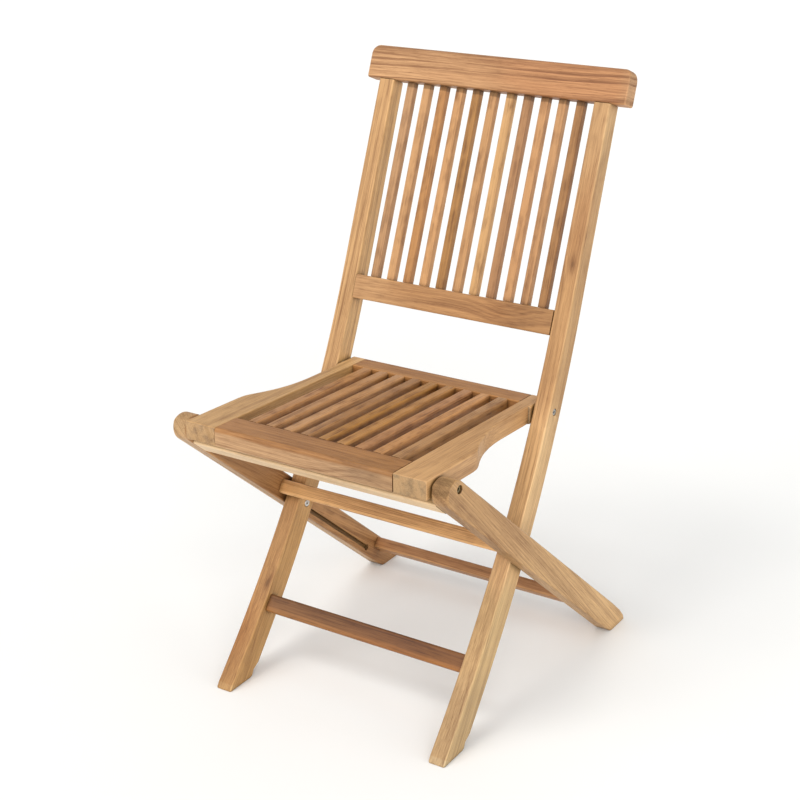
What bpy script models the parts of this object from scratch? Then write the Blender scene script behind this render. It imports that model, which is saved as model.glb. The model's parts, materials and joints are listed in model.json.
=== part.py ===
"""Folding slatted garden dining chair in solid teak.

Three rigid frames: the back frame (two curved stiles that run down to the
front feet), the seat, and the rear-leg frame.  The seat turns on two screws
in the stiles and the rear legs turn on two screws in the seat's sides.
Metres, +Z up, the chair faces -Y, origin on the ground under the middle.
"""
import math

import bmesh
import bpy
from mathutils import Vector

# ---------------------------------------------------------------- dimensions
GAP = 0.0003                 # clearance between pieces that meet

# half widths across the chair
LEG_OUT = 0.2383             # rear leg, outer face
LEG_IN = 0.2112              # rear leg, inner face
STILE_OUT = 0.2086
STILE_IN = 0.1806
SEAT_OUT = 0.2082            # wide front part of the seat's sides
SEAT_WAIST = 0.1755          # narrow rear part, between the stiles
PAD_OUT = 0.1785             # bearing pad round the rear pivot
SEAT_IN = 0.1535             # inner edge of the seat's sides
CREST_HALF = 0.2332

# stile: slope dy/dz of its front face, straight above the knee
FOOT_Y = -0.2670             # front face of the stile on the ground
SLOPE_TOP = 0.437
SLOPE_KNEE = 0.592
SLOPE_FOOT = 0.940
Z_STRAIGHT = 0.560
Z_KNEE = 0.340
Z_CREST = 0.8462             # underside of the crest rail at its front
DEPTH_FOOT = 0.0430
DEPTH_MID = 0.0345
DEPTH_TOP = 0.0285
Z_MID = 0.450
STILE_ROUND = 0.0032

# back
CREST_HIGH = 0.0538
CREST_DEEP = 0.0270
CREST_CORNER = 0.0125
BACK_RAIL_HIGH = 0.0380
BACK_RAIL_DEEP = 0.0240
BACK_RAIL_LOW = -0.3515      # below the crest rail, along the lean
BACK_SLATS = 11
BACK_SLAT_PITCH = 0.0307
BACK_SLAT_WIDE = 0.0135
BACK_SLAT_DEEP = 0.0125
BACK_SLAT_SET = 0.0095       # set back from the front faces
TENON = 0.0100

# seat
SEAT_TILT = math.radians(3.25)
SEAT_FRONT_Y = -0.2746
SEAT_FRONT_Z = 0.4479
SEAT_LONG = 0.3587
SEAT_THICK = 0.0285
FRONT_RAIL_WIDE = 0.0480
REAR_RAIL_WIDE = 0.0360
SEAT_SLATS = 9
SEAT_SLAT_PITCH = 0.0312
SEAT_SLAT_WIDE = 0.0170
SEAT_SLAT_THICK = 0.0180
WAIST_START = 0.127          # the sides begin to narrow, from the front
WAIST_LONG = 0.118
WAIST_SOFT = 0.008           # how gently the narrowing sets in
PAD_START = 0.312

# rear legs: axis from the middle of the rounded top end
LEG_Y = -0.2491
LEG_Z = 0.4243
LEG_FALL = math.radians(43.4)
LEG_HALF = 0.0205            # half the width in side view
LEG_TIP = 0.0216
LEG_ROUND = 0.0034

# pivots (y, z)
PIVOT_SEAT = (0.0558, 0.4200)      # seat on the stiles
PIVOT_LEG = (-0.2423, 0.4297)      # rear legs on the seat
PIN_STILE = (-0.0540, 0.2266)      # guide pin in the stile
GROOVE_V = -0.0090           # groove line, across the leg
GROOVE_START = 0.2740
GROOVE_END = 0.5285
GROOVE_WIDE = 0.0070
GROOVE_DEEP = 0.0080
SHANK_R = 0.0030
BORE_R = 0.0035


# ------------------------------------------------------------------- helpers
def clear_scene():
    for obj in list(bpy.data.objects):
        bpy.data.objects.remove(obj, do_unlink=True)


def material(name, colour, roughness=0.6, metallic=0.0):
    mat = bpy.data.materials.new(name)
    mat.use_nodes = True
    shader = mat.node_tree.nodes["Principled BSDF"]
    shader.inputs["Base Color"].default_value = (*colour, 1.0)
    shader.inputs["Roughness"].default_value = roughness
    shader.inputs["Metallic"].default_value = metallic
    mat.diffuse_color = (*colour, 1.0)
    return mat


def teak(name, tone):
    """Teak of a given tone: 0 is pale straw, 1 is dark reddish brown."""
    pale = Vector((0.62, 0.43, 0.25))
    dark = Vector((0.30, 0.14, 0.075))
    return material(name, tuple(pale.lerp(dark, tone)), 0.62)


def axis_empty(name, place, parent=None):
    """An empty on a joint's axis; pieces that turn together hang from it."""
    empty = bpy.data.objects.new(name, None)
    empty.empty_display_size = 0.04
    bpy.context.scene.collection.objects.link(empty)
    empty["world"] = place
    if parent is None:
        empty.location = place
    else:
        empty.parent = parent
        empty.location = Vector(place) - Vector(parent["world"])
    return empty


def add_mesh(name, bm, mat, parent=None):
    """Link a bmesh, given in world coordinates, as a piece of its own.

    Its origin goes to the middle of its box, and its location is measured
    from the parent empty, which stands on the joint's axis.
    """
    bmesh.ops.remove_doubles(bm, verts=bm.verts, dist=1e-6)
    bmesh.ops.recalc_face_normals(bm, faces=bm.faces)
    places = [v.co for v in bm.verts]
    low = Vector([min(p[i] for p in places) for i in range(3)])
    high = Vector([max(p[i] for p in places) for i in range(3)])
    middle = (low + high) / 2.0
    bmesh.ops.translate(bm, verts=bm.verts, vec=-middle)
    mesh = bpy.data.meshes.new(name)
    bm.to_mesh(mesh)
    bm.free()
    mesh.shade_smooth()
    mesh.set_sharp_from_angle(angle=math.radians(35))
    obj = bpy.data.objects.new(name, mesh)
    obj.location = middle
    if parent is not None:
        obj.parent = parent
        obj.location = middle - Vector(parent["world"])
    bpy.context.scene.collection.objects.link(obj)
    if mat is not None:
        mesh.materials.append(mat)
    return obj


def rounded(a0, a1, b0, b1, radii, steps=2):
    """Rounded rectangle in 2-D; radii at (a0,b0), (a1,b0), (a1,b1), (a0,b1)."""
    if not isinstance(radii, (tuple, list)):
        radii = (radii,) * 4
    corners = ((a0, b0, 1, 1, 180), (a1, b0, -1, 1, 270),
               (a1, b1, -1, -1, 0), (a0, b1, 1, -1, 90))
    points = []
    for (a, b, sa, sb, start), r in zip(corners, radii):
        for k in range(steps + 1):
            t = math.radians(start + 90.0 * k / steps)
            points.append((a + sa * r + r * math.cos(t),
                           b + sb * r + r * math.sin(t)))
    return points


def add_loft(bm, loops):
    """Skin a row of matching loops and close both ends with flat faces."""
    rings = [[bm.verts.new(p) for p in loop] for loop in loops]
    count = len(rings[0])
    for low, high in zip(rings, rings[1:]):
        for i in range(count):
            j = (i + 1) % count
            bm.faces.new((low[i], low[j], high[j], high[i]))
    bm.faces.new(list(reversed(rings[0])))
    bm.faces.new(rings[-1])


def loft(name, loops, mat, parent=None):
    bm = bmesh.new()
    add_loft(bm, loops)
    return add_mesh(name, bm, mat, parent)


def cut(target, solids):
    """Take closed solids, each a row of loops, out of a piece."""
    bm = bmesh.new()
    for loops in solids:
        add_loft(bm, loops)
    parent = target.parent
    cutter = add_mesh("cut_" + target.name, bm, None, parent)
    cutter.hide_render = True
    cutter.display_type = "WIRE"
    mod = target.modifiers.new("cuts", "BOOLEAN")
    mod.operation = "DIFFERENCE"
    mod.solver = "EXACT"
    mod.object = cutter


def disc(x, centre, radius, sides=20, turn=0.0):
    """A ring of points round an axis along X."""
    y, z = centre
    points = []
    for k in range(sides):
        t = 2.0 * math.pi * k / sides + turn
        points.append(Vector((x, y + radius * math.cos(t),
                              z + radius * math.sin(t))))
    return points


def bore(centre, stations, sides=20):
    """Turned solid along X from (x, radius) stations."""
    return [disc(x, centre, r, sides) for x, r in stations]


# --------------------------------------------------------- frames of reference
def stile_slope(z):
    if z >= Z_STRAIGHT:
        return SLOPE_TOP
    if z >= Z_KNEE:
        t = (Z_STRAIGHT - z) / (Z_STRAIGHT - Z_KNEE)
        return SLOPE_TOP + t * (SLOPE_KNEE - SLOPE_TOP)
    t = (Z_KNEE - z) / Z_KNEE
    return SLOPE_KNEE + t * (SLOPE_FOOT - SLOPE_KNEE)


def stile_y(z):
    """Front face of the stile: its slope added up from the ground."""
    y = FOOT_Y
    low = 0.0
    for high in (Z_KNEE, Z_STRAIGHT, 9.0):
        top = min(z, high)
        y += (top - low) * (stile_slope(low) + stile_slope(top)) / 2.0
        if z <= high:
            return y
        low = high
    return y


def stile_depth(z):
    if z < Z_MID:
        return DEPTH_FOOT + (DEPTH_MID - DEPTH_FOOT) * z / Z_MID
    t = (z - Z_MID) / (Z_CREST - Z_MID)
    return DEPTH_MID + (DEPTH_TOP - DEPTH_MID) * t


def stile_point(z, back, up=0.0):
    """(y, z) at a depth behind the front face and a rise along the stile."""
    slope = stile_slope(z)
    n = math.hypot(1.0, slope)
    return (stile_y(z) + (back + up * slope) / n,
            z + (up - back * slope) / n)


LEAN = math.atan(SLOPE_TOP)


def back_point(x, n, e):
    """Back-rest frame: n behind the front plane, e up from the crest rail."""
    y = stile_y(Z_CREST) + n * math.cos(LEAN) + e * math.sin(LEAN)
    z = Z_CREST - n * math.sin(LEAN) + e * math.cos(LEAN)
    return Vector((x, y, z))


def seat_point(x, s, h):
    """Seat frame: s back from the front edge, h above the top face."""
    c = math.cos(SEAT_TILT)
    t = math.sin(SEAT_TILT)
    return Vector((x, SEAT_FRONT_Y + s * c + h * t,
                   SEAT_FRONT_Z - s * t + h * c))


def leg_point(x, u, v):
    """Rear-leg frame: u down the leg from its top end, v across it."""
    c = math.cos(LEG_FALL)
    s = math.sin(LEG_FALL)
    return Vector((x, LEG_Y + u * c + v * s, LEG_Z - u * s + v * c))


def leg_u_at_ground(v):
    return (LEG_Z + v * math.cos(LEG_FALL)) / math.sin(LEG_FALL)


# ------------------------------------------------------------- building blocks
def bar_along_x(x_end, section, tenon, place, inner=0.0, soft=0.0):
    """Loops of a cross piece with a stepped tenon at each end.

    section and tenon are matching 2-D outlines, place maps (x, a, b).
    inner is the tenon's length and soft eases the ends when there is none.
    """
    def loop(x, outline):
        return [place(x, a, b) for a, b in outline]

    if inner > 0.0:
        return [loop(-x_end - inner, tenon), loop(-x_end, tenon),
                loop(-x_end, section), loop(x_end, section),
                loop(x_end, tenon), loop(x_end + inner, tenon)]
    return [loop(-x_end, tenon), loop(-x_end + soft, section),
            loop(x_end - soft, section), loop(x_end, tenon)]


def pocket(x0, x1, a0, a1, b0, b1, place):
    """Loops of a square mortise along X, GAP larger than its tenon."""
    outline = rounded(a0 - GAP, a1 + GAP, b0 - GAP, b1 + GAP, 0.0, 1)
    outline = outline[::2]
    return [[place(x, a, b) for a, b in outline] for x in (x0, x1)]


def two_sides(build):
    """Build the left (-X) and the right (+X) piece of a pair."""
    return [build(-1.0, "left"), build(1.0, "right")]


# ------------------------------------------------------------------ back frame
def pair_loop(side, x_in, x_out, front, back, r):
    """Rounded section between two (y, z) points, from x_in to x_out."""
    f = Vector(front)
    d = Vector(back) - f
    deep = d.length
    d.normalize()
    points = []
    for a, t in rounded(x_in, x_out, 0.0, deep, r):
        points.append(Vector((side * a, f.x + t * d.x, f.y + t * d.y)))
    return points


def stile_tenon(z, up):
    """The stile's tenon section, up along the lean from height z."""
    f = stile_point(z, 0.0070, up)
    b = stile_point(z, 0.0200, up)
    return f, b


def build_stile(side, word):
    x0, x1, r = STILE_IN, STILE_OUT, STILE_ROUND
    z_top = Z_CREST - GAP
    loops = []
    for up in (0.0250, 0.0):
        f, b = stile_tenon(z_top, up)
        loops.append(pair_loop(side, x0 + 0.005, x1 - 0.005, f, b, 0.001))
    heights = [z_top, Z_STRAIGHT, 0.50, 0.45, 0.40, 0.34, 0.29, 0.24,
               0.19, 0.14, 0.09, 0.045]
    for z in heights:
        f = stile_point(z, 0.0)
        b = stile_point(z, stile_depth(z))
        loops.append(pair_loop(side, x0, x1, f, b, r))
    # the foot turns from square across the leg to flat on the ground
    heel = FOOT_Y + DEPTH_FOOT * math.hypot(1.0, SLOPE_FOOT)
    loops.append(pair_loop(side, x0, x1, (stile_y(0.018), 0.018),
                           (heel + 0.0010, 0.0100), r))
    loops.append(pair_loop(side, x0, x1, (stile_y(0.0030), 0.0030),
                           (heel - 0.0035, 0.0022), 0.0026))
    loops.append(pair_loop(side, x0 + 0.0006, x1 - 0.0006,
                           (FOOT_Y + 0.0034, 0.0), (heel - 0.0080, 0.0),
                           0.0024))
    name = "stile_" + word
    tone = 0.16 if side > 0 else 0.10
    obj = loft(name, loops, teak("teak_" + name, tone))
    cut(obj, [
        side_pocket(side, STILE_IN, 0.0150, back_rail_tenon(), back_place),
        side_pocket(side, STILE_IN, 0.0150, stretcher_tenon(), stretcher_place),
        bore(PIVOT_SEAT, [(side * (STILE_IN - 0.01), BORE_R),
                          (side * (STILE_OUT - 0.0042), BORE_R),
                          (side * (STILE_OUT - 0.0042), 0.0055),
                          (side * (STILE_OUT + 0.01), 0.0055)]),
        bore(PIN_STILE, [(side * (STILE_IN - 0.01), 0.0062),
                         (side * (STILE_IN + 0.0030), 0.0062),
                         (side * (STILE_IN + 0.0030), BORE_R),
                         (side * (STILE_OUT + 0.01), BORE_R)]),
    ])
    return obj


def side_pocket(side, face, deep, box, place):
    """A mortise that opens on the face at x = side * face."""
    a0, a1, b0, b1 = box
    return pocket(side * (face - 0.003), side * (face + deep + GAP),
                  a0, a1, b0, b1, place)


def back_place(x, n, e):
    return back_point(x, n, e)


def back_rail_tenon():
    return (0.0060, 0.0160, BACK_RAIL_LOW + 0.004,
            BACK_RAIL_LOW + BACK_RAIL_HIGH - 0.004)


def stretcher_place(x, back, up):
    y, z = stile_point(0.1095, back, up)
    return Vector((x, y, z))


def stretcher_tenon():
    return (0.0120, 0.0220, -0.0085, 0.0085)


def build_crest():
    """Crest rail: rounded upper corners and an eased top edge."""
    mat = teak("teak_crest_rail", 0.34)
    stations = [(CREST_HALF, 0.0024)]
    for deg in (90, 72, 54, 36, 18, 0):
        x = CREST_HALF - CREST_CORNER
        x += CREST_CORNER * math.sin(math.radians(deg))
        stations.append((min(x, CREST_HALF - 0.0022), 0.0))
    stations = sorted(set(stations))
    row = [(-x, inset) for x, inset in reversed(stations)] + stations
    loops = []
    for x, inset in row:
        run = max(0.0, abs(x) - (CREST_HALF - CREST_CORNER))
        rise = max(0.0, CREST_CORNER ** 2 - run ** 2)
        drop = CREST_CORNER - math.sqrt(rise)
        top = CREST_HIGH - drop - inset
        outline = rounded(inset, CREST_DEEP - inset, inset, top,
                          (0.003, 0.003, 0.0065, 0.0075), 3)
        loops.append([back_point(x, n, e) for n, e in outline])
    obj = loft("crest_rail", loops, mat)
    pockets = []
    for x in back_slat_centres():
        n0, n1, w = slat_tenon_box()
        pockets.append(upright_pocket(x, w, n0, n1, -0.003, TENON + GAP))
    for side in (-1.0, 1.0):
        mid = side * (STILE_IN + STILE_OUT) / 2.0
        half = (STILE_OUT - STILE_IN) / 2.0 - 0.005
        pockets.append(upright_pocket(mid, half, 0.007, 0.020, -0.003, 0.0256))
    cut(obj, pockets)
    return obj


def upright_pocket(x, half, n0, n1, e0, e1):
    """A mortise that opens up or down in the back-rest frame."""
    a0, a1 = x - half - GAP, x + half + GAP
    b0, b1 = n0 - GAP, n1 + GAP
    square = ((a0, b0), (a1, b0), (a1, b1), (a0, b1))
    return [[back_point(a, b, e) for a, b in square] for e in (e0, e1)]


def back_slat_centres():
    mid = (BACK_SLATS - 1) / 2.0
    return [(i - mid) * BACK_SLAT_PITCH for i in range(BACK_SLATS)]


def slat_tenon_box():
    return BACK_SLAT_SET + 0.002, BACK_SLAT_SET + BACK_SLAT_DEEP - 0.002, 0.004


def build_back_rail():
    low = BACK_RAIL_LOW
    high = low + BACK_RAIL_HIGH
    section = rounded(0.0, BACK_RAIL_DEEP, low, high, 0.0025)
    n0, n1, e0, e1 = back_rail_tenon()
    tenon = rounded(n0, n1, e0, e1, 0.0010)
    loops = bar_along_x(STILE_IN - GAP, section, tenon, back_point, 0.0150)
    obj = loft("lower_back_rail", loops, teak("teak_lower_back_rail", 0.28))
    n0, n1, w = slat_tenon_box()
    cut(obj, [upright_pocket(x, w, n0, n1, high - TENON - GAP, high + 0.003)
              for x in back_slat_centres()])
    return obj


def build_back_slats():
    tones = (0.12, 0.18, 0.34, 0.14, 0.40, 0.22, 0.36, 0.16, 0.30, 0.20, 0.26)
    low = BACK_RAIL_LOW + BACK_RAIL_HIGH
    n0, n1, w = slat_tenon_box()
    d0, d1 = BACK_SLAT_SET, BACK_SLAT_SET + BACK_SLAT_DEEP
    half = BACK_SLAT_WIDE / 2.0
    for i, x in enumerate(back_slat_centres()):
        body = rounded(x - half, x + half, d0, d1, 0.0018, 1)
        tenon = rounded(x - w, x + w, n0, n1, 0.0006, 1)
        row = ((low - TENON, tenon), (low + GAP, tenon), (low + GAP, body),
               (-GAP, body), (-GAP, tenon), (TENON, tenon))
        loops = [[back_point(a, b, e) for a, b in outline]
                 for e, outline in row]
        name = "back_slat_%02d" % (i + 1)
        loft(name, loops, teak("teak_" + name, tones[i]))


def build_front_stretcher():
    section = rounded(0.0080, 0.0260, -0.0125, 0.0143, 0.0030)
    a0, a1, b0, b1 = stretcher_tenon()
    tenon = rounded(a0, a1, b0, b1, 0.0010)
    loops = bar_along_x(STILE_IN - GAP, section, tenon, stretcher_place, 0.0150)
    loft("front_leg_stretcher", loops, teak("teak_front_leg_stretcher", 0.85))


# ------------------------------------------------------------------------ seat
def seat_edge(s):
    """Outer edge of the seat's side at a distance s from the front."""
    if s >= PAD_START:
        return PAD_OUT
    run = s - WAIST_START
    t = 0.5 * (run + math.hypot(run, WAIST_SOFT)) / WAIST_LONG
    t = 1.0 - (1.0 - min(1.0, t)) ** 2.3
    return SEAT_OUT + (SEAT_WAIST - SEAT_OUT) * t


def build_seat_side(side, word, parent):
    low = -SEAT_THICK
    stations = [(0.0, 0.0022), (0.0022, 0.0)]
    for k in range(13):
        run = -0.017 + (WAIST_LONG + 0.017) * (k / 12.0) ** 1.4
        stations.append((WAIST_START + run, 0.0))
    stations += [(PAD_START - 0.0012, 0.0), (PAD_START + 0.0004, 0.0),
                 (SEAT_LONG - 0.0022, 0.0), (SEAT_LONG, 0.0022)]
    loops = []
    for s, inset in stations:
        outline = rounded(SEAT_IN + inset, seat_edge(s) - inset,
                          low + inset, -inset, (0.001, 0.003, 0.003, 0.0015))
        loops.append([seat_point(side * a, s, h) for a, h in outline])
    name = "seat_side_" + word
    obj = loft(name, loops, teak("teak_" + name, 0.14), parent)
    front = [(side * (SEAT_OUT + 0.004), BORE_R),
             (side * (SEAT_OUT - 0.0300), BORE_R)]
    rear = [(side * (PAD_OUT + 0.004), BORE_R),
            (side * (PAD_OUT - 0.0142), BORE_R)]
    solids = [bore(PIVOT_LEG, front), bore(PIVOT_SEAT, rear)]
    for s0, s1 in (seat_rail_span(0), seat_rail_span(1)):
        solids.append(side_pocket(side, SEAT_IN, 0.0100,
                                  (s0 + 0.006, s1 - 0.006, -0.0180, -0.0080),
                                  seat_point))
    cut(obj, solids)


def seat_rail_span(which):
    if which == 0:
        return 0.0, FRONT_RAIL_WIDE
    return SEAT_LONG - REAR_RAIL_WIDE, SEAT_LONG


def seat_slat_centres():
    mid = (SEAT_SLATS - 1) / 2.0
    return [(i - mid) * SEAT_SLAT_PITCH for i in range(SEAT_SLATS)]


def build_seat_rails(parent):
    low = -SEAT_THICK
    spec = (("seat_front_rail", 0, 0.30, (0.003, 0.0015, 0.0015, 0.0055)),
            ("seat_rear_rail", 1, 0.42, (0.0015, 0.003, 0.003, 0.0015)))
    for name, which, tone, radii in spec:
        s0, s1 = seat_rail_span(which)
        section = rounded(s0, s1, low, 0.0, radii)
        tenon = rounded(s0 + 0.006, s1 - 0.006, -0.0180, -0.0080, 0.001)
        loops = bar_along_x(SEAT_IN - GAP, section, tenon, seat_point, 0.0100)
        obj = loft(name, loops, teak("teak_" + name, tone), parent)
        if which == 0:
            a0, a1 = s1 - 0.0080 - GAP, s1 + 0.003
        else:
            a0, a1 = s0 - 0.003, s0 + 0.0080 + GAP
        pockets = []
        for x in seat_slat_centres():
            pockets.append(slat_pocket(x, a0, a1))
        cut(obj, pockets)


def slat_pocket(x, s0, s1):
    half = 0.0055 + GAP
    square = ((x - half, -0.0130 - GAP), (x + half, -0.0130 - GAP),
              (x + half, -0.0050 + GAP), (x - half, -0.0050 + GAP))
    return [[seat_point(a, s, h) for a, h in square] for s in (s0, s1)]


def build_seat_slats(parent):
    tones = (0.34, 0.44, 0.24, 0.40, 0.26, 0.36, 0.46, 0.24, 0.38)
    s0 = FRONT_RAIL_WIDE
    s1 = SEAT_LONG - REAR_RAIL_WIDE
    half = SEAT_SLAT_WIDE / 2.0
    for i, x in enumerate(seat_slat_centres()):
        body = rounded(x - half, x + half, -SEAT_SLAT_THICK, 0.0,
                       (0.0015, 0.0015, 0.0030, 0.0030))
        tenon = rounded(x - 0.0055, x + 0.0055, -0.0130, -0.0050, 0.0006)
        row = ((s0 - 0.0080, tenon), (s0 + GAP, tenon), (s0 + GAP, body),
               (s1 - GAP, body), (s1 - GAP, tenon), (s1 + 0.0080, tenon))
        loops = [[seat_point(a, s, h) for a, h in outline]
                 for s, outline in row]
        name = "seat_slat_%02d" % (i + 1)
        loft(name, loops, teak("teak_" + name, tones[i]), parent)


# -------------------------------------------------------------- rear-leg frame
def leg_boxes():
    """Cross pieces: name, (u0, u1, v0, v1), tone, extra turn."""
    return (("front_cross_rail", (0.0042, 0.0373, -LEG_HALF, -0.0055), 0.02),
            ("lower_stretcher", (0.5484, 0.5744, -0.0005, 0.0180), 0.80))


def upper_place(x, front, up):
    """The upper stretcher lies flat on the stiles' front faces."""
    y, z = stile_point(0.2475, -front, up)
    return Vector((x, y, z))


UPPER_BOX = (0.0006, 0.0176, -0.0073, 0.0147)


def tenon_of(box, cheek):
    a0, a1, b0, b1 = box
    return a0 + cheek, a1 - cheek, b0 + cheek, b1 - cheek


def groove_outline():
    """Keyhole groove: a long slot with a round assembly hole at its end."""
    w = GROOVE_WIDE / 2.0
    big = 0.0053
    points = []
    for k in range(9):
        t = math.radians(90 + 180 * k / 8)
        points.append((GROOVE_START + w * math.cos(t), w * math.sin(t)))
    open_angle = math.degrees(math.asin(w / big))
    for k in range(17):
        t = math.radians(180 + open_angle + (360 - 2 * open_angle) * k / 16)
        points.append((GROOVE_END + big * math.cos(t), big * math.sin(t)))
    return [(u, v + GROOVE_V) for u, v in points]


def build_leg(side, word, parent):
    loops = []
    for deg in (-80, -62, -42, -20):
        t = math.radians(deg)
        half = LEG_HALF * math.cos(t)
        r = min(LEG_ROUND, half * 0.55)
        loops.append(leg_loop(side, LEG_TIP * math.sin(t), half, r))
    for u in (0.0, 0.28, 0.5750):
        loops.append(leg_loop(side, u, LEG_HALF, LEG_ROUND))
    foot = (((0.5880, -0.0205), (0.6065, 0.0195), LEG_ROUND),
            ((0.5965, -0.0195), (0.6240, 0.0163), 0.0030),
            ((leg_u_at_ground(-0.0165), -0.0165),
             (leg_u_at_ground(0.0118), 0.0118), 0.0022))
    for f, b, r in foot:
        p = leg_point(0.0, *f)
        q = leg_point(0.0, *b)
        loops.append(pair_loop(side, LEG_IN, LEG_OUT, (p.y, p.z), (q.y, q.z),
                               r))
    name = "rear_leg_" + word
    obj = loft(name, loops, teak("teak_" + name, 0.20), parent)
    solids = [bore(PIVOT_LEG, [(side * (LEG_IN - 0.01), BORE_R),
                               (side * (LEG_OUT - 0.0065), BORE_R),
                               (side * (LEG_OUT - 0.0065), 0.0063),
                               (side * (LEG_OUT + 0.01), 0.0063)])]
    outline = groove_outline()
    solids.append([[leg_point(side * x, u, v) for u, v in outline]
                   for x in (LEG_IN - 0.004, LEG_IN + GROOVE_DEEP)])
    for _, box, _ in leg_boxes():
        solids.append(side_pocket(side, LEG_IN, 0.0120, tenon_of(box, 0.0040),
                                  leg_point))
    solids.append(side_pocket(side, LEG_IN, 0.0120, tenon_of(UPPER_BOX, 0.0045),
                              upper_place))
    cut(obj, solids)


def leg_loop(side, u, half, r):
    p = leg_point(0.0, u, -half)
    q = leg_point(0.0, u, half)
    return pair_loop(side, LEG_IN, LEG_OUT, (p.y, p.z), (q.y, q.z), r)


def build_cross_pieces(parent):
    for name, box, tone in leg_boxes():
        section = rounded(*box, 0.0030)
        tenon = rounded(*tenon_of(box, 0.0040), 0.0010)
        loops = bar_along_x(LEG_IN - GAP, section, tenon, leg_point, 0.0120)
        loft(name, loops, teak("teak_" + name, tone), parent)
    section = rounded(*UPPER_BOX, 0.0040)
    tenon = rounded(*tenon_of(UPPER_BOX, 0.0045), 0.0010)
    loops = bar_along_x(LEG_IN - GAP, section, tenon, upper_place, 0.0120)
    loft("upper_stretcher", loops, teak("teak_upper_stretcher", 0.22), parent)


# -------------------------------------------------------------------- hardware
def build_screw(name, side, centre, head_x, head_r, head_t, tip_x, mat, parent):
    """Socket-head screw along X with its head facing out from head_x."""
    out = 1.0 if head_x > tip_x else -1.0
    stations = [(tip_x, SHANK_R * 0.7), (tip_x + out * 0.0012, SHANK_R),
                (head_x - out * head_t, SHANK_R),
                (head_x - out * head_t, head_r),
                (head_x - out * 0.0007, head_r), (head_x, head_r - 0.0007)]
    loops = bore(centre, [(side * x, r) for x, r in stations])
    obj = loft(name, loops, mat, parent)
    socket = [disc(side * x, centre, head_r * 0.48, 6, math.radians(30))
              for x in (head_x + out * 0.002, head_x - out * head_t * 0.7)]
    cut(obj, [socket])


def build_washer(name, side, centre, x0, x1, mat, parent):
    bm = bmesh.new()
    rings = []
    for x, r in ((x0, 0.0037), (x1, 0.0037), (x1, 0.0085), (x0, 0.0085)):
        ring = [bm.verts.new(p) for p in disc(side * x, centre, r)]
        rings.append(ring)
    count = len(rings[0])
    for k in range(4):
        low, high = rings[k], rings[(k + 1) % 4]
        for i in range(count):
            j = (i + 1) % count
            bm.faces.new((low[i], low[j], high[j], high[i]))
    add_mesh(name, bm, mat, parent)


def build_hardware(seat_axis):
    for side, word in ((-1.0, "left"), (1.0, "right")):
        steel = material("steel_" + word, (0.55, 0.54, 0.50), 0.35, 1.0)
        brass = material("washer_metal_" + word, (0.45, 0.40, 0.30), 0.4, 1.0)
        build_screw("front_pivot_screw_" + word, side, PIVOT_LEG,
                    LEG_OUT - 0.0025, 0.0058, 0.0034, SEAT_OUT - 0.0270,
                    steel, seat_axis)
        build_screw("rear_pivot_screw_" + word, side, PIVOT_SEAT,
                    STILE_OUT - 0.0006, 0.0050, 0.0032, PAD_OUT - 0.0135,
                    steel, seat_axis)
        build_screw("groove_pin_" + word, side, PIN_STILE,
                    STILE_IN - 0.0006, 0.0057, 0.0030, STILE_OUT + 0.0018,
                    steel, None)
        build_washer("front_washer_" + word, side, PIVOT_LEG,
                     SEAT_OUT + GAP, LEG_IN - GAP, brass, seat_axis)
        build_washer("rear_washer_" + word, side, PIVOT_SEAT,
                     PAD_OUT + GAP, STILE_IN - GAP, brass, seat_axis)


# ------------------------------------------------------------------------ main
def main():
    clear_scene()
    seat_axis = axis_empty("seat_axis", (0.0, *PIVOT_SEAT))
    leg_axis = axis_empty("leg_axis", (0.0, *PIVOT_LEG), seat_axis)
    two_sides(build_stile)
    build_crest()
    build_back_rail()
    build_back_slats()
    build_front_stretcher()
    for side, word in ((-1.0, "left"), (1.0, "right")):
        build_seat_side(side, word, seat_axis)
        build_leg(side, word, leg_axis)
    build_seat_rails(seat_axis)
    build_seat_slats(seat_axis)
    build_cross_pieces(leg_axis)
    build_hardware(seat_axis)


main()
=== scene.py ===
"""Looks of a folding slatted teak garden chair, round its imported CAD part.

Every board is made again with finer curves and arrises, in the place of its
CAD node, and gets solid teak of its own: the growth rings run through the
board, so its faces show streaks or cathedrals and its ends show arcs.
Metres, +Z up, the chair faces -Y.
"""

import json
import math
import random

import bmesh
import bpy
from mathutils import Matrix, Vector

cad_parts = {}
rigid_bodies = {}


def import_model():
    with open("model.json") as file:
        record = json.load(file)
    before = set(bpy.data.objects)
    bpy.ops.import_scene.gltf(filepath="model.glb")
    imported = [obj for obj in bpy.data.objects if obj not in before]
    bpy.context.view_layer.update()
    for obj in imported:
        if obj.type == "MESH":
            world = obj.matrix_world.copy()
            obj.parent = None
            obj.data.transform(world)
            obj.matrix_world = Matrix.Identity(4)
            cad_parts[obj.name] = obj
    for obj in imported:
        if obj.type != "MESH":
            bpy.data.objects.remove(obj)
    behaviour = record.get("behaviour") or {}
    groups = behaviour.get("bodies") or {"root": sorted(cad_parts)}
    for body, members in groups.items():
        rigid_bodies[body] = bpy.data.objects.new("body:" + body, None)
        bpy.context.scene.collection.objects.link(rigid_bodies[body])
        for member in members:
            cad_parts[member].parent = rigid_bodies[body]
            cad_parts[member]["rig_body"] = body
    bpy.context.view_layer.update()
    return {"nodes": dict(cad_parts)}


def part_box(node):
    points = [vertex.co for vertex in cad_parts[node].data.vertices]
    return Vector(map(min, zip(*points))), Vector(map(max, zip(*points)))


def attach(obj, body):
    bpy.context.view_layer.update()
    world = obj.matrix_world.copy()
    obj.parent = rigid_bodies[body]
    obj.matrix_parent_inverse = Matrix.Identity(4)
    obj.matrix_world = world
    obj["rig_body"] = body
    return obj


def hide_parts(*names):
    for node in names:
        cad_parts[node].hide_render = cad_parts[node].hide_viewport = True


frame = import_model()

# ---- dimensions
GAP = 0.0003                 # clearance between pieces that meet

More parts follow.
